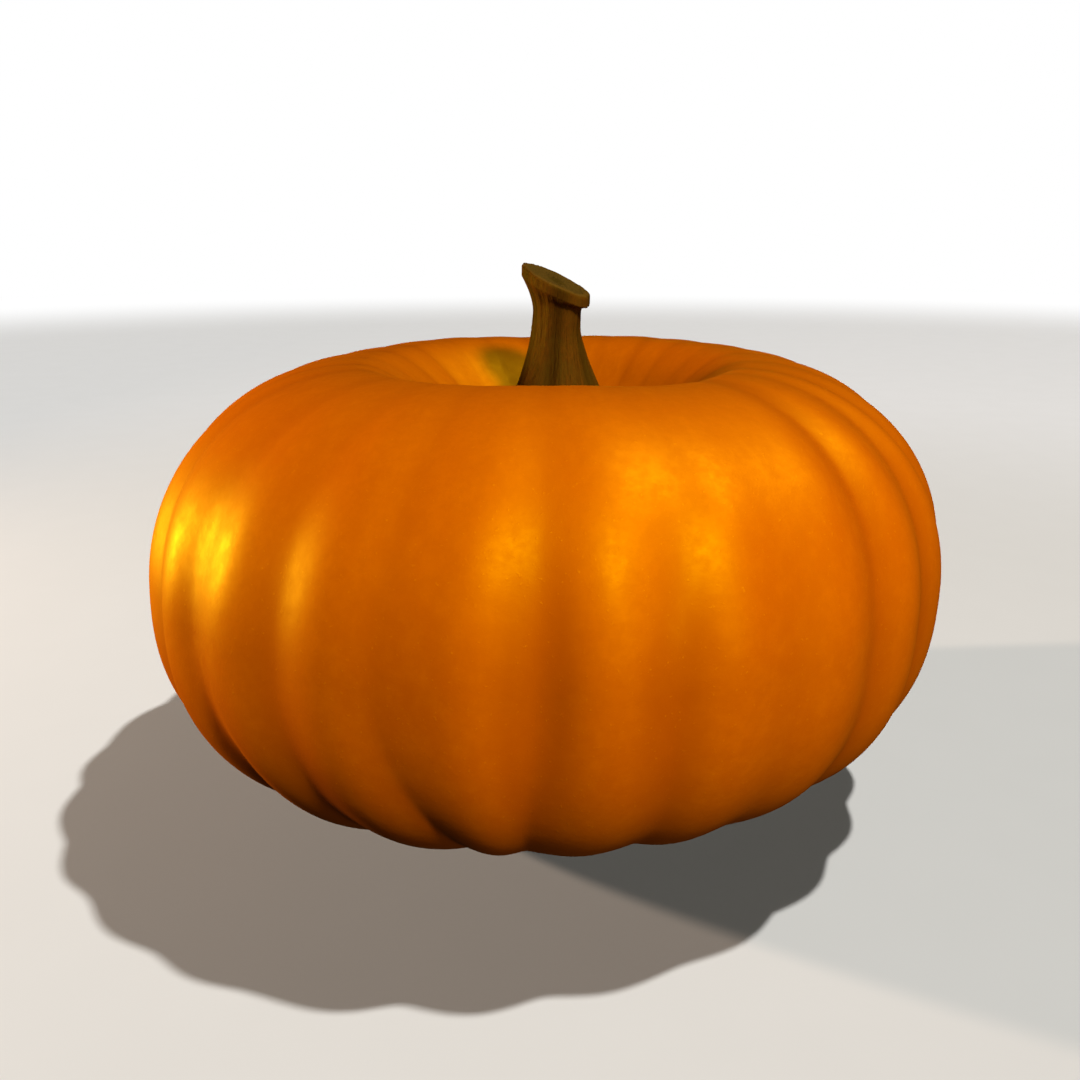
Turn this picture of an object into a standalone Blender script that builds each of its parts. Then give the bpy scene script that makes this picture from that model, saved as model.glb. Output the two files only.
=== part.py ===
"""A ribbed pumpkin and the cut stem that stands in its dimple.

Metres, +Z up. The origin is under the middle of the fruit, on the surface that it rests on.
The pumpkin's front faces -Y. Angles round the fruit are in degrees from the front, positive towards +X.
"""

import math

import bmesh
import bpy

# Driving sizes of the fruit.
FRUIT_RADIUS = 0.150    # widest part, over the ribs
WIDEST_HEIGHT = 0.087   # height of the widest part
CREST_HEIGHT = 0.161    # top of the shoulder ring round the dimple
CREST_RADIUS = 0.0738   # radius of that ring
DIMPLE_DEPTH = 0.026    # from the crest down to the seat of the stem
SEAT_RADIUS = 0.025     # flat floor of the dimple
SEAT_SHIFT = 0.0030     # how far the dimple's floor lies towards +X
REST_RADIUS = 0.0415    # flat spot that the fruit rests on
LEAN = 0.038            # sideways drift towards +X for each metre of height

# Roundness of the profile: a pair of superellipse powers above the widest part and a pair below it.
SHOULDER_POWERS = (2.06, 2.05)
BELLY_POWERS = (2.12, 2.5)

# Ribs. The furrows that differ from their neighbours are given one by one; the rest go round evenly.
FURROW_DEPTH = 0.0034    # of a furrow of full strength, at the widest part and below it
CREST_SHARE = 0.15       # furrows on the crest and in the dimple are this share of it
FURROW_SHARPNESS = 1.15  # 1 is a plain V, more is softer
FRONT_FURROWS = [        # (angle, strength)
    (-82, 1.0), (-63, 0.8), (-50, 1.0), (-33, 0.8), (-19, 0.5), (-1, 1.3), (14, 1.1),
    (29, 0.6), (43, 1.0), (58, 1.0), (74, 1.0),
]
BACK_FURROWS = 13        # spread evenly over the rest of the way round
FURROW_RUN_OUT = 0.030   # length over which furrows fade out towards the two flats

# Driving sizes of the stem.
STEM_HEIGHT = 0.054     # from the seat to the middle of the cut
NECK_HEIGHT = 0.040     # of the narrowest part, above the seat
NECK_RADIUS = 0.0092
CUT_RADIUS = 0.0130     # half width of the cut end
FOOT_MARGIN = 0.001     # ring of seat left free round the foot
FOOT_FLARE = 1.5        # 1 is a straight cone, more is a hollow curve
CUT_FLARE = 2.2
CUT_SLANT = 25.5        # degrees
CUT_FACING = -18        # direction in which the cut slopes down, in degrees from +X
STEM_RIDGES = 5
RIDGE_DEPTH = 0.0010    # at the neck
FOOT_RIDGE_DEPTH = 0.0022
RIDGE_TWIST = 25        # degrees from foot to cut

GAP = 0.0003            # between the stem's foot and its seat

# Mesh density.
SEGMENTS = 120
SEAT_RINGS = 1
DIMPLE_RINGS = 7
SHOULDER_RINGS = 8
BELLY_RINGS = 9
REST_RINGS = 1
RINGS = SEAT_RINGS + DIMPLE_RINGS + SHOULDER_RINGS + BELLY_RINGS + REST_RINGS
STEM_SEGMENTS = 40
STEM_RINGS = 14

SEAT_HEIGHT = CREST_HEIGHT - DIMPLE_DEPTH
FOOT_RADIUS = SEAT_RADIUS - FOOT_MARGIN


def furrows():
    """All furrows in order round the fruit, as (angle, strength)."""
    first, last = FRONT_FURROWS[0][0], FRONT_FURROWS[-1][0]
    step = (first + 360 - last) / (BACK_FURROWS + 1)
    back = [(last + step * (i + 1), 0.9 + 0.15 * math.sin(2.1 * i)) for i in range(BACK_FURROWS)]
    return FRONT_FURROWS + back


FURROWS = furrows()


def furrow_strength(angle):
    """1 in a full furrow and 0 on the back of a rib, at an angle in degrees from the front."""
    angle = (angle - FURROWS[0][0]) % 360 + FURROWS[0][0]
    following = FURROWS[1:] + [(FURROWS[0][0] + 360, FURROWS[0][1])]
    for (left, left_strength), (right, right_strength) in zip(FURROWS, following):
        if angle < right:
            break
    across = (angle - left) / (right - left)
    strength = left_strength + (right_strength - left_strength) * smooth(across)
    return strength * (1 - math.sin(math.pi * across) ** FURROW_SHARPNESS)


def smooth(t):
    """0 below 0, 1 above 1 and an even curve between."""
    t = min(max(t, 0.0), 1.0)
    return t * t * (3 - 2 * t)


def profile(ring):
    """Radius and height of the plain profile, from the dimple's middle (ring 0) to the base (ring RINGS)."""
    if ring <= SEAT_RINGS:
        return SEAT_RADIUS * ring / SEAT_RINGS, SEAT_HEIGHT
    ring -= SEAT_RINGS
    if ring <= DIMPLE_RINGS:
        t = ring / DIMPLE_RINGS
        rise = 0.5 - 0.5 * math.cos(math.pi * t)
        return SEAT_RADIUS + (CREST_RADIUS - SEAT_RADIUS) * t, SEAT_HEIGHT + DIMPLE_DEPTH * rise
    ring -= DIMPLE_RINGS
    if ring <= SHOULDER_RINGS:
        out = math.sin(math.pi / 2 * ring / SHOULDER_RINGS)
        n, m = SHOULDER_POWERS
        rise = (CREST_HEIGHT - WIDEST_HEIGHT) * max(0.0, 1 - out ** n) ** (1 / m)
        return CREST_RADIUS + (FRUIT_RADIUS - CREST_RADIUS) * out, WIDEST_HEIGHT + rise
    ring -= SHOULDER_RINGS
    if ring <= BELLY_RINGS:
        out = math.cos(math.pi / 2 * ring / BELLY_RINGS)
        n, m = BELLY_POWERS
        fall = max(0.0, 1 - out ** n) ** (1 / m)
        return REST_RADIUS + (FRUIT_RADIUS - REST_RADIUS) * out, WIDEST_HEIGHT * (1 - fall)
    ring -= BELLY_RINGS
    return REST_RADIUS * (1 - ring / REST_RINGS), 0.0


def furrow_depth(radius, height):
    """Depth of a full furrow at a place on the profile: none on the flats, and less round the dimple."""
    if height < WIDEST_HEIGHT:
        return FURROW_DEPTH * smooth((radius - REST_RADIUS) / FURROW_RUN_OUT)
    widest = smooth((radius - CREST_RADIUS) / (FRUIT_RADIUS - CREST_RADIUS))
    share = CREST_SHARE + (1 - CREST_SHARE) * widest
    return FURROW_DEPTH * share * smooth((radius - SEAT_RADIUS) / FURROW_RUN_OUT)


def fruit_point(ring, angle):
    """Where the skin lies: the profile with its furrow pressed in square to it, then leaned."""
    radius, height = profile(ring)
    before, after = profile(max(ring - 0.01, 0)), profile(min(ring + 0.01, RINGS))
    run, fall = after[0] - before[0], before[1] - after[1]
    depth = furrow_depth(radius, height) * furrow_strength(angle) / math.hypot(run, fall)
    radius -= depth * fall
    height -= depth * run
    lean = LEAN * (height - WIDEST_HEIGHT)
    if height > WIDEST_HEIGHT:
        lean += SEAT_SHIFT * (1 - smooth((radius - SEAT_RADIUS) / (CREST_RADIUS - SEAT_RADIUS)))
    a = math.radians(angle)
    return radius * math.sin(a) + lean, -radius * math.cos(a), height


def material(name, colour, roughness):
    made = bpy.data.materials.new(name)
    made.use_nodes = True
    shader = made.node_tree.nodes["Principled BSDF"]
    shader.inputs["Base Color"].default_value = (*colour, 1)
    shader.inputs["Roughness"].default_value = roughness
    shader.inputs["Metallic"].default_value = 0
    made.diffuse_color = (*colour, 1)
    return made


def add_part(name, bm, made, collection, parent):
    mesh = bpy.data.meshes.new(name)
    bm.to_mesh(mesh)
    bm.free()
    mesh.shade_smooth()
    mesh.set_sharp_from_angle(angle=math.radians(40))
    mesh.materials.append(made)
    part = bpy.data.objects.new(name, mesh)
    collection.objects.link(part)
    part.parent = parent
    return part


def fruit(collection, parent):
    bm = bmesh.new()
    bmesh.ops.create_uvsphere(bm, u_segments=SEGMENTS, v_segments=RINGS, radius=1)
    for v in bm.verts:
        ring = round(math.acos(max(-1, min(1, v.co.z))) / math.pi * RINGS)
        v.co = fruit_point(ring, math.degrees(math.atan2(v.co.x, -v.co.y)))
    low = [min(v.co[i] for v in bm.verts) for i in range(2)]
    high = [max(v.co[i] for v in bm.verts) for i in range(2)]
    part = add_part("fruit", bm, material("rind", (0.80, 0.25, 0.01), 0.42), collection, parent)
    part.location = (-(low[0] + high[0]) / 2, -(low[1] + high[1]) / 2, 0)
    return part


def stem_radius(up):
    """Plain radius of the stem at a height above its foot."""
    if up < NECK_HEIGHT:
        return NECK_RADIUS + (FOOT_RADIUS - NECK_RADIUS) * (1 - up / NECK_HEIGHT) ** FOOT_FLARE
    t = (up - NECK_HEIGHT) / (STEM_HEIGHT - NECK_HEIGHT)
    return NECK_RADIUS + (CUT_RADIUS - NECK_RADIUS) * t ** CUT_FLARE


def stem_point(x, y, share):
    """Moves a point of a plain cylinder, a share of the way up it, to the ridged, flared and slanted stem."""
    around = math.atan2(y, x)
    up = STEM_HEIGHT * share
    ridge = RIDGE_DEPTH + (FOOT_RIDGE_DEPTH - RIDGE_DEPTH) * (1 - share) ** 2
    wave = 0.5 - 0.5 * math.cos(STEM_RIDGES * (around - math.radians(RIDGE_TWIST) * share))
    radius = (stem_radius(up) - ridge * wave) * math.hypot(x, y)
    px, py = radius * math.cos(around), radius * math.sin(around)
    facing = math.radians(CUT_FACING)
    along = px * math.cos(facing) + py * math.sin(facing)
    up -= along * math.tan(math.radians(CUT_SLANT)) * smooth((share - 0.35) / 0.65)
    return px, py, up


def stem(collection, parent, fruit_part):
    bm = bmesh.new()
    bmesh.ops.create_cone(bm, cap_ends=True, segments=STEM_SEGMENTS, radius1=1, radius2=1, depth=1)
    uprights = [e for e in bm.edges if abs(e.verts[0].co.z - e.verts[1].co.z) > 0.5]
    bmesh.ops.subdivide_edges(bm, edges=uprights, cuts=STEM_RINGS - 1, use_grid_fill=True)
    for v in bm.verts:
        v.co = stem_point(v.co.x, v.co.y, v.co.z + 0.5)
    part = add_part("stem", bm, material("stem", (0.10, 0.065, 0.018), 0.75), collection, parent)
    seat = LEAN * (SEAT_HEIGHT - WIDEST_HEIGHT) + SEAT_SHIFT
    part.location = (fruit_part.location.x + seat, fruit_part.location.y, SEAT_HEIGHT + GAP)
    return part


def main():
    for old in list(bpy.data.objects):
        bpy.data.objects.remove(old)
    collection = bpy.data.collections.new("pumpkin")
    bpy.context.scene.collection.children.link(collection)
    whole = bpy.data.objects.new("pumpkin_origin", None)
    collection.objects.link(whole)
    fruit_part = fruit(collection, whole)
    stem(collection, whole, fruit_part)


main()
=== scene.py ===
"""Looks of the ribbed pumpkin: skin, dry stem, floor, light and camera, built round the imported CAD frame.

Metres, +Z up, front towards -Y. Angles round the fruit are in degrees from the front, positive towards +X.
"""

import math

import bpy
import numpy as np
from mathutils import Euler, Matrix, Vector


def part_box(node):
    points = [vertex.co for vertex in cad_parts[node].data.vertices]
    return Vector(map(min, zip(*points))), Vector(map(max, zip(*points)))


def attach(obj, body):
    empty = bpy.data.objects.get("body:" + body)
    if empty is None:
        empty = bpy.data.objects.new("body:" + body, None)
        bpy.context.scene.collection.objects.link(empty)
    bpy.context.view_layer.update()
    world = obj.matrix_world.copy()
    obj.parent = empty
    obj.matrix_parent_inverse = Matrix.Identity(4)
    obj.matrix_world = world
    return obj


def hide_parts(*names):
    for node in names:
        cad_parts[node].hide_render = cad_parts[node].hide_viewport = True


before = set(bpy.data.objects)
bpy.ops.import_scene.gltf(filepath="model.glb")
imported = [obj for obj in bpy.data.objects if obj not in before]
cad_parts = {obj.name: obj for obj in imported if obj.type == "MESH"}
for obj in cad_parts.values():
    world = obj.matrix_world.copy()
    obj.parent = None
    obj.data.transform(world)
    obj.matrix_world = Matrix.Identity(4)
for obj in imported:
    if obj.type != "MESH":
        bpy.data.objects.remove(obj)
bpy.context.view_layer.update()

# ---------------------------------------------------------------- sizes from the frame

fruit_low, fruit_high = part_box("fruit")
stem_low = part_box("stem")[0]
FRUIT_RADIUS = (fruit_high.x - fruit_low.x) / 2
CREST_HEIGHT = fruit_high.z
SEAT_HEIGHT = stem_low.z

# ---------------------------------------------------------------- shape of the fruit

WIDEST_HEIGHT = 0.087
CREST_RADIUS = 0.0738
SEAT_RADIUS = 0.025
REST_RADIUS = 0.0415
LEAN = 0.038            # sideways drift towards +X for each metre of height
SEAT_SHIFT = 0.0030     # how much further towards +X the dimple's floor lies
# n and m of the plain outline (1 - x ** n) ** (1 / m), above the widest part and below it.
SHOULDER_POWERS = (2.06, 2.05)
BELLY_POWERS = (2.12, 2.5)

# Depth of a full furrow at the seat, on the crest, at the widest part and at the edge of the base.
DEPTHS = (0.0004, 0.0003, 0.0034, 0.0021)
BASE_DEPTH = 0.0009     # under the fruit, between the flat spot's edge and the blossom scar
NARROW = 12             # a rib narrower than this many degrees doesn't swell to its full height

# Each furrow runs from the crest over the widest part down to the base, and drifts a little on its way.
# A row holds its angle at the crest, at the widest part and at the base, its strength at those places, and
# its softness above and below the widest part, where 1 is a plain V.
FRONT_FURROWS = [
    ((-84, -82, -75), (0.8, 1.0, 0.9), (1.2, 1.2)),
    ((-72, -63, -60), (0.8, 0.8, 0.9), (1.4, 1.1)),
    ((-49, -50, -41), (0.6, 1.0, 1.2), (1.8, 1.4)),
    ((-33, -33, -27), (0.5, 0.8, 0.8), (1.8, 1.1)),
    ((-18, -19, -10), (0.5, 0.5, 0.9), (1.6, 0.8)),
    ((-1, -1, -2), (0.5, 1.5, 0.6), (1.8, 1.1)),
    ((16, 14, 16), (0.4, 1.1, 0.7), (1.8, 1.2)),
    ((29, 29, 30), (0.2, 0.55, 0.4), (1.8, 1.4)),
    ((46, 43, 44), (1.2, 1.0, 0.9), (1.5, 1.1)),
    ((61, 58, 58), (0.8, 1.0, 0.9), (1.5, 1.2)),
    ((72, 74, 71), (1.0, 1.0, 0.9), (1.3, 1.2)),
]
BACK_FURROWS = 13       # spread evenly over the rest of the way round, but for a small sway
BACK_SWAY = 1.6         # degrees
BACK_SWAY_SHARES = (0.4, 1.0, -0.6)
BACK_STRENGTH = 0.85
BACK_UNEVENNESS = 0.25
BACK_CREST_SHARE = 0.8
BACK_SOFTNESS = (1.2, 1.15)


def furrows():
    """All furrows in order, as (angles, strengths, softnesses)."""
    first, last = FRONT_FURROWS[0][0], FRONT_FURROWS[-1][0]
    back = []
    for i in range(BACK_FURROWS):
        t = (i + 1) / (BACK_FURROWS + 1)
        sway = BACK_SWAY * math.sin(2.7 * i)
        places = zip(first, last, BACK_SWAY_SHARES)
        angles = tuple(b + (a + 360 - b) * t + sway * share for a, b, share in places)
        strength = BACK_STRENGTH + BACK_UNEVENNESS * math.sin(1.9 * i + 0.6)
        back.append((angles, (BACK_CREST_SHARE * strength, strength, strength), BACK_SOFTNESS))
    return FRONT_FURROWS + back


def smooth(t):
    """0 below 0, 1 above 1 and an even curve between."""
    t = np.clip(t, 0.0, 1.0)
    return t * t * (3 - 2 * t)


# Rings of the skin from the middle of the dimple to the middle of the base.
RINGS = {"seat": 8, "dimple": 56, "shoulder": 64, "belly": 72, "rest": 30}
AROUND = 600            # points in a ring
SCAR_RADIUS = 0.010     # blossom scar in the middle of the base
SCAR_DEPTH = 0.0028
SCAR_NUB = 0.0035       # radius of the nub in the middle of the scar
NUB_SHARE = 0.6         # its height as a share of the scar's depth


def profile():
    """Radius and height of each ring of the plain profile, how far up it lies, from the widest part to the
    crest, how far down, from there to the base, and the depth of a full furrow on it."""
    seat = np.linspace(0, 1, RINGS["seat"], endpoint=False)
    dimple = np.linspace(0, 1, RINGS["dimple"], endpoint=False)
    shoulder = np.sin(np.linspace(0, math.pi / 2, RINGS["shoulder"], endpoint=False))
    belly = np.cos(np.linspace(0, math.pi / 2, RINGS["belly"], endpoint=False))
    rest = np.linspace(1, 0, RINGS["rest"])
    above = CREST_HEIGHT - WIDEST_HEIGHT
    n, m = SHOULDER_POWERS
    shoulder_rise = (1 - shoulder ** n) ** (1 / m)
    n, m = BELLY_POWERS
    belly_fall = np.clip(1 - belly ** n, 0, 1) ** (1 / m)
    scar = 1 - smooth((rest * REST_RADIUS - SCAR_NUB) / (SCAR_RADIUS - SCAR_NUB))
    nub = 1 - smooth(rest * REST_RADIUS / SCAR_NUB)
    radius = np.concatenate([
        SEAT_RADIUS * seat,
        SEAT_RADIUS + (CREST_RADIUS - SEAT_RADIUS) * dimple,
        CREST_RADIUS + (FRUIT_RADIUS - CREST_RADIUS) * shoulder,
        REST_RADIUS + (FRUIT_RADIUS - REST_RADIUS) * belly,
        REST_RADIUS * rest,
    ])
    height = np.concatenate([
        SEAT_HEIGHT + 0 * seat,
        SEAT_HEIGHT + (CREST_HEIGHT - SEAT_HEIGHT) * (0.5 - 0.5 * np.cos(math.pi * dimple)),
        WIDEST_HEIGHT + above * shoulder_rise,
        WIDEST_HEIGHT * (1 - belly_fall),
        SCAR_DEPTH * (scar - NUB_SHARE * nub),
    ])
    up = np.concatenate([0 * seat + 1, 0 * dimple + 1, shoulder_rise, 0 * belly, 0 * rest])
    down = np.concatenate([0 * seat, 0 * dimple, 0 * shoulder, belly_fall, 0 * rest + 1])
    seat_depth, crest_depth, widest_depth, base_depth = DEPTHS
    under = BASE_DEPTH * smooth((rest * REST_RADIUS - 0.8 * SCAR_RADIUS) / SCAR_RADIUS)
    depth = np.concatenate([
        seat_depth * seat,
        seat_depth + (crest_depth - seat_depth) * smooth(dimple),
        crest_depth + (widest_depth - crest_depth) * smooth(shoulder),
        widest_depth + (base_depth - widest_depth) * smooth(1 - belly),
        under + (base_depth - BASE_DEPTH) * smooth(rest) ** 3,
    ])
    return radius, height, up, down, depth


def furrow_field(angle, up, down):
    """Furrow strength over a grid of rings by angles: near 1 in a furrow and 0 on the back of a rib."""
    rows = furrows()
    field = np.zeros((len(up), len(angle)))
    for i, (u, d) in enumerate(zip(up, down)):
        places = (smooth(u), 1 - smooth(u) - smooth(d), smooth(d))
        at = np.array([sum(a * p for a, p in zip(r[0], places)) for r in rows])
        strength = np.array([sum(s * p for s, p in zip(r[1], places)) for r in rows])
        soft = np.array([r[2][0] * (1 - smooth(d)) + r[2][1] * smooth(d) for r in rows])
        at = np.append(at, at[0] + 360)
        strength = np.append(strength, strength[0])
        soft = np.append(soft, soft[0])
        turned = (angle - at[0]) % 360 + at[0]
        left = np.clip(np.searchsorted(at, turned, side="right") - 1, 0, len(at) - 2)
        across = (turned - at[left]) / (at[left + 1] - at[left])
        mix = smooth(across)
        depth = strength[left] * (1 - mix) + strength[left + 1] * mix
        power = soft[left] * (1 - mix) + soft[left + 1] * mix
        swell = smooth((at[left + 1] - at[left]) / NARROW)
        field[i] = depth * (1 - swell * np.sin(math.pi * across) ** power)
    return field


def fruit_grid():
    """Points of the skin, one row a ring, with the furrow strength at each."""
    radius, height, up, down, depth = profile()
    angle = np.arange(AROUND) * 360 / AROUND - 180
    a = np.radians(angle)
    field = furrow_field(angle, up, down)
    run, fall = np.gradient(radius), -np.gradient(height)
    length = np.hypot(run, fall)
    press = depth[:, None] * field
    press += swelling(a, height, radius)
    r = radius[:, None] - press * (fall / length)[:, None]
    z = height[:, None] - press * (run / length)[:, None]
    z = np.maximum(z, 0)
    r[radius <= 0] = 0
    lean = LEAN * (z - WIDEST_HEIGHT)
    inward = 1 - smooth((r - SEAT_RADIUS) / (CREST_RADIUS - SEAT_RADIUS))
    lean += SEAT_SHIFT * inward * (up > 0)[:, None]
    return np.stack([r * np.sin(a) + lean, -r * np.cos(a), z], -1), field, a, radius, height


# Waves of the skin: how many go round the fruit, their turn for each metre of height, phase and depth.
WAVES = ((2, 31, 0.3, 0.00045), (3, 19, 1.9, 0.00040), (5, 43, 4.1, 0.00022), (7, -27, 2.2, 0.00018))
WAVE_RUN_OUT = 0.03


def swelling(a, height, radius):
    """A slight unevenness of the whole skin, which fades out towards the seat and the base."""
    around, up = a[None, :], height[:, None]
    total = sum(depth * np.sin(count * around + turn * up + phase) for count, turn, phase, depth in WAVES)
    return total * (smooth((radius - REST_RADIUS) / WAVE_RUN_OUT))[:, None]


# ---------------------------------------------------------------- meshes from grids

def grid_mesh(name, rings, first_pole, last_pole):
    """A closed mesh from rings of points, with a pole at each end; one face for each gap between points."""
    count = rings.shape[1]
    points = [tuple(first_pole)] + [tuple(p) for ring in rings for p in ring] + [tuple(last_pole)]
    last = len(points) - 1
    faces = []
    for i in range(count):
        j = (i + 1) % count
        faces.append((0, 1 + i, 1 + j))
        for r in range(len(rings) - 1):
            upper, lower = 1 + r * count, 1 + (r + 1) * count
            faces.append((upper + i, lower + i, lower + j, upper + j))
        end = 1 + (len(rings) - 1) * count
        faces.append((end + i, last, end + j))
    mesh = bpy.data.meshes.new(name)
    mesh.from_pydata(points, [], faces)
    mesh.validate()
    mesh.shade_smooth()
    piece = bpy.data.objects.new(name, mesh)
    bpy.context.scene.collection.objects.link(piece)
    return piece


def keep(piece, name, values, vector=False):
    """Stores a value, or a vector, at each point of a piece for its material to read."""
    kind = "FLOAT_VECTOR" if vector else "FLOAT"
    attribute = piece.data.attributes.new(name, kind, "POINT")
    attribute.data.foreach_set("vector" if vector else "value", np.asarray(values, np.float32).ravel())


def with_poles(rows):
    """A vector at each point of a grid, in the order of a grid mesh's points: pole, rings, pole."""
    flat = rows.reshape(-1, rows.shape[-1])
    return np.concatenate([rows[0].mean(0, keepdims=True), flat, rows[-1].mean(0, keepdims=True)])


def with_field(rows):
    """A number at each point of a grid, in the order of a grid mesh's points."""
    return np.concatenate([[rows[0].mean()], rows.reshape(-1), [rows[-1].mean()]])


ELSEWHERE = 1.0         # metres; a distance that no mark on the skin reaches


def make_fruit():
    """The skin, and how far it was moved to stand over the origin."""
    grid, field, a, radius, height = fruit_grid()
    flat = grid.reshape(-1, 3)
    offset = (flat.min(0) + flat.max(0)) / 2
    offset[2] = 0
    grid = grid - offset
    piece = grid_mesh("fruit_skin", grid[1:-1], grid[0].mean(0), grid[-1].mean(0))
    keep(piece, "furrow", with_field(field[1:-1]))
    grown = np.cumsum(np.hypot(np.gradient(radius), np.gradient(height)))[1:-1]
    along = np.repeat(grown[:, None], len(a), 1)
    ring = np.repeat(a[None, :], len(grown), 0)
    grain = np.stack([np.cos(ring), np.sin(ring), along * GRAIN_STRETCH], -1)
    keep(piece, "grain", with_poles(grain), vector=True)
    reach = np.repeat(radius[1:-1, None], len(a), 1)
    upper = np.repeat((height[1:-1] > WIDEST_HEIGHT)[:, None], len(a), 1)
    keep(piece, "near_stem", with_field(np.where(upper, reach, ELSEWHERE)))
    keep(piece, "near_scar", with_field(np.where(upper, ELSEWHERE, reach)))
    return piece, -offset


# ---------------------------------------------------------------- stem

STEM_HEIGHT = 0.054     # from the seat to the middle of the cut
NECK_HEIGHT = 0.040
NECK_RADIUS = 0.0092
FOOT_RADIUS = 0.024
CUT_RADIUS = 0.0130
FOOT_FLARE = 1.5
CUT_FLARE = 2.2         # on the high side of the cut, where the stem widens gradually
LIP_FLARE = 6.0         # on its low side, where a short lip stands out
CUT_SLANT = math.radians(25.5)
CUT_FACING = math.radians(-18)
SLANT_START = 0.35      # share of the stem's height at which it starts to lean into the slant
STEM_RIDGES = 5
RIDGE_TWIST = math.radians(25)
RIDGE_DEPTHS = (0.0006, 0.0022)   # all the way up, and added at the foot
CORD_DEPTHS = (0.00035, 0.0006)   # the same for the three cords on each ridge
CORDS = 3
FIBRE_DEPTH = 0.00007
KNOT_DEPTH = 0.00018
STEM_AROUND = 260       # points in a ring
STEM_UP = 150
LIP_RINGS = 5
CUT_RINGS = 40
LIP = 0.0012            # rounding of the cut's edge
CUT_RIM = 0.0032        # height of the upright rim under the cut
PITH_RADIUS = 0.30      # share of the cut that its soft middle takes up
PITH_HOLLOW = 0.0013    # how deep that middle has dried in
CUT_HOLLOW = 0.0007     # how deep the cut lies inside its lip
CUT_ROUGHNESS = 0.00022
RAY_DEPTH = 0.00012
FOOT_SINK = 0.0012      # how deep the foot is grown into the rind
FOOT_SPREAD = 0.0010    # how much wider it is down there


def stem_radius(up, a):
    """Plain radius of the stem at heights above its foot and angles round it."""
    below = np.clip(1 - up / NECK_HEIGHT, 0, 1) ** FOOT_FLARE
    flare = CUT_FLARE + (LIP_FLARE - CUT_FLARE) * smooth(0.5 + 0.5 * np.cos(a - CUT_FACING))
    above = np.clip((up - NECK_HEIGHT) / (STEM_HEIGHT - CUT_RIM - NECK_HEIGHT), 0, 1) ** flare
    return NECK_RADIUS + (FOOT_RADIUS - NECK_RADIUS) * below + (CUT_RADIUS - NECK_RADIUS) * above


def stem_side(share, a):
    """Radius of the stem at shares of its height and angles, with its ridges, cords and fibres, and how far
    into a ridge's furrow each place lies."""
    foot = (1 - share) ** 2
    turn = a - RIDGE_TWIST * share
    main = 0.5 - 0.5 * np.cos(STEM_RIDGES * turn)
    cords = 0.5 - 0.5 * np.cos(CORDS * STEM_RIDGES * turn + 1.3 * np.sin(2 * a) + 2.0 * share)
    fibre = np.sin(41 * turn + 3.0 * np.sin(7 * share + 2 * a))
    fibre = fibre + 0.7 * np.sin(67 * turn - 4.0 * np.sin(5 * share + a))
    knots = np.sin(9 * share + 3 * a) * np.sin(17 * share - 4 * a + 1.0)
    ridge_depth = RIDGE_DEPTHS[0] + RIDGE_DEPTHS[1] * foot
    cord_depth = CORD_DEPTHS[0] + CORD_DEPTHS[1] * foot
    radius = stem_radius(STEM_HEIGHT * share, a)
    radius = radius - ridge_depth * main ** 1.3 - cord_depth * cords
    return radius + FIBRE_DEPTH * fibre + KNOT_DEPTH * knots, main


def cut_face(edge, a):
    """The rings of the rounded lip, as radii, heights and how far each is sawn, and those of the cut face,
    as radii, heights and shares of the way out from the pith."""
    turn = np.linspace(0, math.pi / 2, LIP_RINGS + 1)[1:, None]
    lip_radius = edge[None, :] - LIP * (1 - np.cos(turn))
    lip_up = STEM_HEIGHT + LIP * np.sin(turn) + 0 * lip_radius
    inner = np.linspace(1, 0, CUT_RINGS)[1:, None]
    face_radius = lip_radius[-1][None, :] * inner
    rough = CUT_ROUGHNESS * np.sin(5 * a + 9 * inner) * np.sin(23 * inner + 2 * a) * smooth(inner * 4)
    hollow = CUT_HOLLOW * smooth((1 - inner) / 0.25) + PITH_HOLLOW * (1 - smooth(inner / PITH_RADIUS))
    rays = RAY_DEPTH * np.sin(31 * a) * smooth(inner * 3)
    face_up = STEM_HEIGHT + LIP - hollow + rough + rays
    sawn = smooth(turn / 1.5) + 0 * lip_radius
    return (lip_radius, lip_up, sawn), (face_radius, face_up, inner)


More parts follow.
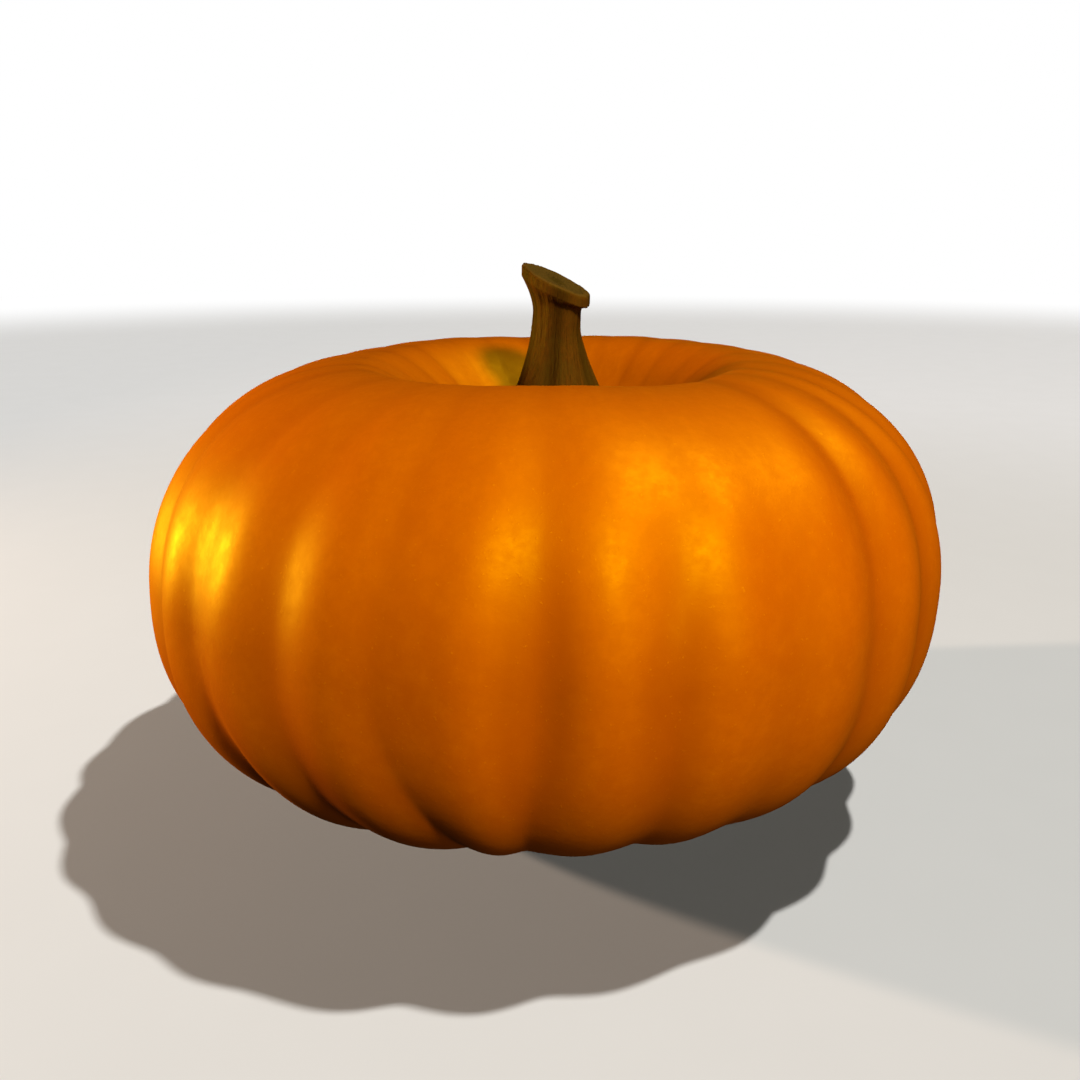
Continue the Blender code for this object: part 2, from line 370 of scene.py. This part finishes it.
def make_stem(seat):
    """The stem from the middle of its cut down to its sunk foot, with what its material reads."""
    a = (np.arange(STEM_AROUND) * 2 * math.pi / STEM_AROUND)[None, :]
    share = np.linspace(0, 1, STEM_UP)[:, None]
    radius, main = stem_side(share, a)
    up = STEM_HEIGHT * share + 0 * radius
    (lip_radius, lip_up, sawn), (face_radius, face_up, inner) = cut_face(radius[-1], a)
    foot_radius = radius[:1] + FOOT_SPREAD
    foot_up = np.full_like(foot_radius, -FOOT_SINK)
    foot_rows = np.zeros((2, STEM_AROUND))
    all_radius = np.concatenate([foot_radius * 0.5, foot_radius, radius, lip_radius, face_radius])
    all_up = np.concatenate([foot_up, foot_up, up, lip_up, face_up])
    x, y = all_radius * np.cos(a), all_radius * np.sin(a)
    along = x * math.cos(CUT_FACING) + y * math.sin(CUT_FACING)
    slant = smooth((all_up / STEM_HEIGHT - SLANT_START) / (1 - SLANT_START))
    z = all_up - along * math.tan(CUT_SLANT) * slant
    grid = np.stack([x + seat[0], y + seat[1], z + seat[2]], -1)[::-1]
    piece = grid_mesh("stem_wood", grid[1:], grid[0].mean(0), grid[-1].mean(0))

    lip_rows, face_rows = np.zeros_like(lip_radius), np.zeros_like(face_radius)
    ridge = np.concatenate([foot_rows + main[0], main, lip_rows + main[-1], face_rows])
    height = np.concatenate([foot_rows, share + 0 * radius, lip_rows + 1, face_rows + 1])
    cut = np.concatenate([foot_rows, 0 * radius, sawn, face_rows + 1])
    from_pith = np.concatenate([foot_rows + 1, 0 * radius + 1, lip_rows + 1, face_rows + inner])
    for name, rows in (("ridge", ridge), ("up", height), ("cut", cut), ("from_pith", from_pith)):
        keep(piece, name, with_field(rows[::-1][1:]))
    ring = a - RIDGE_TWIST * height
    grain = np.stack([np.cos(ring), np.sin(ring), height * 0.9 + (1 - from_pith) * 2], -1)
    keep(piece, "grain", with_poles(grain[::-1][1:]), vector=True)
    return piece


# ---------------------------------------------------------------- materials

GRAIN_STRETCH = 5.0     # how far a streak of the rind runs for its width


class Nodes:
    """Short names for the shader nodes that the materials use."""

    def __init__(self, name):
        self.material = bpy.data.materials.new(name)
        self.material.use_nodes = True
        self.tree = self.material.node_tree
        self.shader = self.tree.nodes["Principled BSDF"]

    def put(self, socket, value):
        """Links the socket to value if that is a node's output, and else sets it to value."""
        if hasattr(value, "is_output"):
            self.tree.links.new(value, socket)
        elif socket.type == "RGBA":
            socket.default_value = (*value, 1)
        else:
            socket.default_value = value

    def make(self, kind, out, **inputs):
        node = self.tree.nodes.new(kind)
        for name, value in inputs.items():
            self.put(node.inputs[name.replace("_", " ")], value)
        return node.outputs[out]

    def kept(self, name, out="Fac"):
        """What keep() stored on the mesh under this name."""
        node = self.tree.nodes.new("ShaderNodeAttribute")
        node.attribute_name = name
        return node.outputs[out]

    def place(self):
        return self.make("ShaderNodeTexCoord", "Object")

    def noise(self, vector, scale, detail=2.0, roughness=0.5):
        inputs = {"Vector": vector, "Scale": scale, "Detail": detail, "Roughness": roughness}
        return self.make("ShaderNodeTexNoise", "Fac", **inputs)

    def ramp(self, value, low, high, start=0.0, end=1.0, smoothly=True):
        """value from low to high becomes start to end."""
        node = self.tree.nodes.new("ShaderNodeMapRange")
        node.interpolation_type = "SMOOTHSTEP" if smoothly else "LINEAR"
        for socket, v in zip(node.inputs[:5], (value, low, high, start, end)):
            self.put(socket, v)
        return node.outputs["Result"]

    def maths(self, operation, one, two):
        node = self.tree.nodes.new("ShaderNodeMath")
        node.operation = operation
        self.put(node.inputs[0], one)
        self.put(node.inputs[1], two)
        return node.outputs[0]

    def mix(self, share, one, two):
        """The colour one, with a share of the colour two."""
        node = self.tree.nodes.new("ShaderNodeMix")
        node.data_type = "RGBA"
        self.put(node.inputs[0], share)
        self.put(node.inputs[6], one)
        self.put(node.inputs[7], two)
        return node.outputs[2]

    def bump(self, height, distance, strength=1.0, normal=None):
        inputs = {"Height": height, "Distance": distance, "Strength": strength}
        if normal is not None:
            inputs["Normal"] = normal
        return self.make("ShaderNodeBump", "Normal", **inputs)

    def finish(self, colour, roughness, normal, **constants):
        self.put(self.shader.inputs["Base Color"], colour)
        self.put(self.shader.inputs["Roughness"], roughness)
        self.put(self.shader.inputs["Normal"], normal)
        for name, value in constants.items():
            self.put(self.shader.inputs[name.replace("_", " ")], value)
        return self.material


RIND_COLOURS = ((0.68, 0.119, 0.0006), (0.74, 0.140, 0.0008))
STREAK_COLOUR = (0.83, 0.178, 0.0012)
FURROW_SHADE_COLOUR = (0.50, 0.073, 0.0004)
MOTTLE_COLOUR = (0.61, 0.097, 0.0005)
PORE_COLOUR = (0.92, 0.26, 0.004)
BY_STEM_COLOUR = (0.50, 0.105, 0.002)
BY_SCAR_COLOUR = (0.78, 0.30, 0.03)
SCAR_COLOUR = (0.22, 0.12, 0.045)
RIND_GLOSS_TINT = (1.0, 0.56, 0.0)


def rind_material():
    """Orange rind with streaks from crest to base, painted shade in the furrows, fine mottling and pores.
    """
    n = Nodes("rind")
    place = n.place()
    grain = n.kept("grain", "Vector")
    furrow = n.kept("furrow")
    patches = n.noise(place, 13.0, 3.0)
    streaks = n.noise(grain, 26.0, 4.0, 0.6)
    mottle = n.noise(place, 230.0, 4.0, 0.65)
    pores = n.noise(place, 900.0, 2.0, 0.5)
    colour = n.mix(n.ramp(patches, 0.35, 0.65), *RIND_COLOURS)
    colour = n.mix(n.ramp(streaks, 0.35, 0.75, 0.0, 0.35), colour, STREAK_COLOUR)
    # painted shade: the rind's colour is darkened in its furrows, where shade falls
    colour = n.mix(n.ramp(furrow, 0.15, 1.1, 0.0, 0.55), colour, FURROW_SHADE_COLOUR)
    colour = n.mix(n.ramp(mottle, 0.30, 0.70, 0.0, 0.38), colour, MOTTLE_COLOUR)
    colour = n.mix(n.ramp(pores, 0.66, 0.78, 0.0, 0.35), colour, PORE_COLOUR)
    stem_edge = n.maths("ADD", n.kept("near_stem"), n.ramp(streaks, 0.3, 0.7, -0.004, 0.004, False))
    colour = n.mix(n.ramp(stem_edge, 0.023, 0.033, 0.6, 0.0), colour, BY_STEM_COLOUR)
    scar_edge = n.maths("ADD", n.kept("near_scar"), n.ramp(patches, 0.3, 0.7, -0.002, 0.002, False))
    colour = n.mix(n.ramp(scar_edge, 0.009, 0.034, 0.55, 0.0), colour, BY_SCAR_COLOUR)
    colour = n.mix(n.ramp(scar_edge, 0.007, 0.012, 1.0, 0.0), colour, SCAR_COLOUR)
    roughness = n.ramp(mottle, 0.25, 0.75, 0.45, 0.55)
    normal = n.bump(n.noise(place, 60.0, 2.0), 0.0005, 0.35)
    normal = n.bump(mottle, 0.00012, 0.5, normal)
    normal = n.bump(n.ramp(pores, 0.6, 0.8), 0.00006, 0.5, normal)
    return n.finish(colour, roughness, normal, Specular_IOR_Level=1.0, Specular_Tint=RIND_GLOSS_TINT)


BARK_COLOURS = ((0.070, 0.0135, 0.010), (0.150, 0.036, 0.022))
STAIN_COLOUR = (0.105, 0.034, 0.028)
STEM_FURROW_SHADE_COLOUR = (0.034, 0.0075, 0.006)
FOOT_COLOUR = (0.165, 0.048, 0.040)
WOOD_COLOURS = ((0.070, 0.030, 0.080), (0.120, 0.050, 0.130))
PITH_COLOUR = (0.055, 0.022, 0.040)
CUT_EDGE_COLOUR = (0.150, 0.052, 0.090)


def stem_material():
    """Dark fibrous bark with painted shade in its furrows, and violet-brown wood with a darker pith where
    the stem is cut.
    """
    n = Nodes("stem")
    place = n.place()
    grain = n.kept("grain", "Vector")
    ridge = n.kept("ridge")
    fibres = n.noise(grain, 22.0, 5.0, 0.65)
    stains = n.noise(place, 120.0, 3.0, 0.6)
    grit = n.noise(place, 1400.0, 2.0)
    bark = n.mix(n.ramp(fibres, 0.32, 0.68), *BARK_COLOURS)
    bark = n.mix(n.ramp(stains, 0.40, 0.65, 0.0, 0.6), bark, STAIN_COLOUR)
    # painted shade: the bark is darkened in the furrows between its ridges, where shade falls
    bark = n.mix(n.ramp(ridge, 0.35, 1.0, 0.0, 0.65), bark, STEM_FURROW_SHADE_COLOUR)
    bark = n.mix(n.ramp(n.kept("up"), 0.0, 0.45, 0.35, 0.0), bark, FOOT_COLOUR)
    from_pith = n.kept("from_pith")
    rings = n.noise(grain, 40.0, 3.0)
    wood = n.mix(n.ramp(rings, 0.35, 0.65), *WOOD_COLOURS)
    wood = n.mix(n.ramp(from_pith, 0.22, 0.36, 0.75, 0.0), wood, PITH_COLOUR)
    wood = n.mix(n.ramp(from_pith, 0.88, 0.98, 0.0, 0.6), wood, CUT_EDGE_COLOUR)
    colour = n.mix(n.ramp(n.kept("cut"), 0.2, 0.8), bark, wood)
    roughness = n.ramp(fibres, 0.3, 0.7, 0.62, 0.85)
    normal = n.bump(fibres, 0.0006, 0.8)
    normal = n.bump(grit, 0.00008, 0.6, normal)
    return n.finish(colour, roughness, normal, Specular_IOR_Level=0.3)


FLOOR_RADIUS = 2.7
FLOOR_EDGES = 96
FLOOR_FADE = (1.7, 2.5)     # distances from the middle between which it fades into the white backdrop
FLOOR_PAINTED_LIGHT_RANGE = (0.35, 1.0)   # distances between which it is painted a little paler, as painted light on the far floor
FLOOR_NEAR_AND_PAINTED_FAR_COLOURS = ((0.78, 0.78, 0.765), (0.92, 0.925, 0.94))
SPECK_COLOUR = (0.60, 0.60, 0.58)
WHITE = (1.0, 1.0, 1.0)
BLACK = (0.0, 0.0, 0.0)


def floor_material():
    n = Nodes("floor")
    place = n.place()
    speck = n.noise(place, 30.0, 2.0)
    length = n.tree.nodes.new("ShaderNodeVectorMath")
    length.operation = "LENGTH"
    n.put(length.inputs[0], place)
    away = length.outputs["Value"]
    # painted light: the floor is painted paler further out, standing in for more light on the far floor
    colour = n.mix(n.ramp(away, *FLOOR_PAINTED_LIGHT_RANGE), *FLOOR_NEAR_AND_PAINTED_FAR_COLOURS)
    colour = n.mix(n.ramp(speck, 0.3, 0.7, 0.0, 0.03), colour, SPECK_COLOUR)
    fade = n.ramp(away, *FLOOR_FADE)
    colour = n.mix(fade, colour, BLACK)
    n.put(n.shader.inputs["Emission Color"], WHITE)
    n.put(n.shader.inputs["Emission Strength"], fade)
    return n.finish(colour, 0.6, n.bump(speck, 0.0002, 0.1), Specular_IOR_Level=0.1)


def backdrop_material():
    n = Nodes("backdrop")
    n.put(n.shader.inputs["Emission Color"], WHITE)
    normal = n.make("ShaderNodeNewGeometry", "Normal")
    return n.finish(BLACK, 1.0, normal, Emission_Strength=1.0, Specular_IOR_Level=0.0)


# ---------------------------------------------------------------- camera, light and floor

CAMERA_AT = Vector((0.0, -0.4196, 0.2162))
CAMERA_DOWN = math.radians(16.86)
CAMERA_LEFT = math.radians(0.15)
CAMERA_ROLL = math.radians(-0.25)
LENS_MM = 36.67
SENSOR_MM = 36.0


def make_camera():
    camera = bpy.data.objects.new("camera", bpy.data.cameras.new("camera"))
    camera.data.lens = LENS_MM
    camera.data.sensor_width = SENSOR_MM
    camera.location = CAMERA_AT
    tilt = Euler((math.pi / 2 - CAMERA_DOWN, 0, CAMERA_LEFT), "XYZ").to_matrix()
    camera.rotation_euler = (tilt @ Euler((0, 0, CAMERA_ROLL), "XYZ").to_matrix()).to_euler()
    bpy.context.scene.collection.objects.link(camera)
    bpy.context.scene.camera = camera


# In the photograph the fruit and the floor are lit differently, so each has lamps of its own, which light
# nothing else. A sun is given by its direction, any other lamp by its place, and AIM is what those turn to.
AIM = Vector((0, 0, 0.09))
SUN_SPREAD = math.radians(2)

GOLDEN = (1.0, 0.96, 0.06)
YELLOW = (1.0, 1.0, 0.08)
AMBER = (1.0, 0.70, 0.02)
FRONT_AT = (0.35, -0.96, 0.90)      # the strongest on the fruit: throws the stem's shadow into the dimple
FRONT_WATTS = 13.0
FRONT_SIZE = 0.16
LOW_LEFT_AT = (-0.72, 0.14, 0.17)   # the bright ribs on the left
LOW_LEFT_WATTS = 5.5
LOW_LEFT_SIZE = 0.2
LOW_RIGHT_AT = (0.75, -1.07, 0.20)  # keeps the lower front from going black
LOW_RIGHT_WATTS = 2.2
LOW_RIGHT_SIZE = 0.3
BACK_AT = (0.25, 1.25, 0.30)        # for the side that faces away from the camera
BACK_WATTS = 5.0
BACK_SIZE = 0.5
KEY_FROM = (0.38, 0.156, 1.0)       # high, from the right and a little from behind
KEY_STRENGTH = 0.40
SHINE_FROM = (0.53, 0.02, 0.88)     # seen only as gloss, on the upper right
SHINE_STRENGTH = 2.6

FLOOR_KEY_STRENGTH = 2.34           # from KEY_FROM too
FLOOR_KEY_COLOUR = (1.0, 0.985, 0.95)
FLOOR_LEFT_AT = (-0.70, 0.15, 0.075)
FLOOR_LEFT_STRENGTH = 18.5
FLOOR_LEFT_SIZE = 0.02
FLOOR_LEFT_COLOUR = (1.0, 0.76, 0.60)
FLOOR_FILL_FROM = (0, 0, 1)         # throws no shadow, so that it only lifts the two others' shadows
FLOOR_FILL_STRENGTH = 0.31
FLOOR_FILL_COLOUR = (1.0, 0.98, 0.92)

SKY_COLOUR = (1.0, 0.80, 0.50, 1.0)
SKY_STRENGTH = 0.01


def add_light(name, light, strength, colour, lit):
    """Finishes a light and adds it as an object that lights only the objects in lit."""
    light.energy = strength
    light.color = colour
    lamp = bpy.data.objects.new(name, light)
    lamp.light_linking.receiver_collection = bpy.data.collections.new(name + "_lights")
    for thing in lit:
        lamp.light_linking.receiver_collection.objects.link(thing)
    bpy.context.scene.collection.objects.link(lamp)
    return lamp


def add_sun(name, strength, colour, direction, lit):
    light = bpy.data.lights.new(name, "SUN")
    light.angle = SUN_SPREAD
    lamp = add_light(name, light, strength, colour, lit)
    lamp.location = direction
    lamp.rotation_euler = Vector(direction).to_track_quat("Z", "Y").to_euler()
    return lamp


def add_disk(name, strength, colour, at, size, lit):
    light = bpy.data.lights.new(name, "AREA")
    light.shape = "DISK"
    light.size = size
    lamp = add_light(name, light, strength, colour, lit)
    lamp.location = at
    lamp.rotation_euler = (Vector(at) - AIM).to_track_quat("Z", "Y").to_euler()
    return lamp


def take_falloff_away(lamp, strength):
    """Makes a lamp as strong far away as it is near."""
    lamp.data.use_nodes = True
    nodes, links = lamp.data.node_tree.nodes, lamp.data.node_tree.links
    falloff = nodes.new("ShaderNodeLightFalloff")
    falloff.inputs["Strength"].default_value = strength
    links.new(falloff.outputs["Constant"], nodes["Emission"].inputs["Strength"])


def make_light(pieces, floor):
    add_sun("key", KEY_STRENGTH, YELLOW, KEY_FROM, pieces)
    add_disk("low_left", LOW_LEFT_WATTS, AMBER, LOW_LEFT_AT, LOW_LEFT_SIZE, pieces)
    add_disk("front", FRONT_WATTS, GOLDEN, FRONT_AT, FRONT_SIZE, pieces)
    shine = add_sun("shine", SHINE_STRENGTH, AMBER, SHINE_FROM, pieces)
    shine.visible_diffuse = False
    back = add_disk("back", BACK_WATTS, GOLDEN, BACK_AT, BACK_SIZE, pieces)
    back.visible_glossy = False
    add_disk("low_right", LOW_RIGHT_WATTS, GOLDEN, LOW_RIGHT_AT, LOW_RIGHT_SIZE, pieces)

    add_sun("floor_key", FLOOR_KEY_STRENGTH, FLOOR_KEY_COLOUR, KEY_FROM, [floor])
    side = add_disk("floor_left", 1.0, FLOOR_LEFT_COLOUR, FLOOR_LEFT_AT, FLOOR_LEFT_SIZE, [floor])
    take_falloff_away(side, FLOOR_LEFT_STRENGTH)
    fill = add_sun("floor_fill", FLOOR_FILL_STRENGTH, FLOOR_FILL_COLOUR, FLOOR_FILL_FROM, [floor])
    fill.data.use_shadow = False

    world = bpy.data.worlds.new("studio")
    world.use_nodes = True
    sky = world.node_tree.nodes["Background"]
    sky.inputs["Color"].default_value = SKY_COLOUR
    sky.inputs["Strength"].default_value = SKY_STRENGTH
    bpy.context.scene.world = world
    bpy.context.scene.view_settings.view_transform = "Standard"


BACKDROP_RADIUS = 6.0
BACKDROP_SEGMENTS = 64
BACKDROP_RINGS = 32


def make_surroundings():
    """A round pale floor, and a white dome that only the camera sees, so it lights nothing."""
    bpy.ops.mesh.primitive_circle_add(vertices=FLOOR_EDGES, radius=FLOOR_RADIUS, fill_type="NGON")
    floor = bpy.context.object
    floor.name = "floor"
    floor.data.materials.append(floor_material())
    counts = {"segments": BACKDROP_SEGMENTS, "ring_count": BACKDROP_RINGS}
    bpy.ops.mesh.primitive_uv_sphere_add(radius=BACKDROP_RADIUS, **counts)
    dome = bpy.context.object
    dome.name = "backdrop"
    dome.data.materials.append(backdrop_material())
    dome.visible_diffuse = False
    dome.visible_glossy = False
    dome.visible_transmission = False
    dome.visible_volume_scatter = False
    dome.visible_shadow = False
    # The floor throws no light up at the fruit, whose underside stays dark, and doesn't show in its gloss.
    floor.visible_diffuse = False
    floor.visible_glossy = False
    return floor


# ---------------------------------------------------------------- the scene

fruit, offset = make_fruit()
fruit.data.materials.append(rind_material())
fruit.visible_diffuse = False   # keeps the floor's shadow a neutral grey
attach(fruit, "root")
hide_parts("fruit")

seat_x = LEAN * (SEAT_HEIGHT - WIDEST_HEIGHT) + SEAT_SHIFT + offset[0]
stem = make_stem((seat_x, offset[1], SEAT_HEIGHT))
stem.data.materials.append(stem_material())
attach(stem, "root")
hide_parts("stem")

floor = make_surroundings()
make_light([fruit, stem], floor)
make_camera()
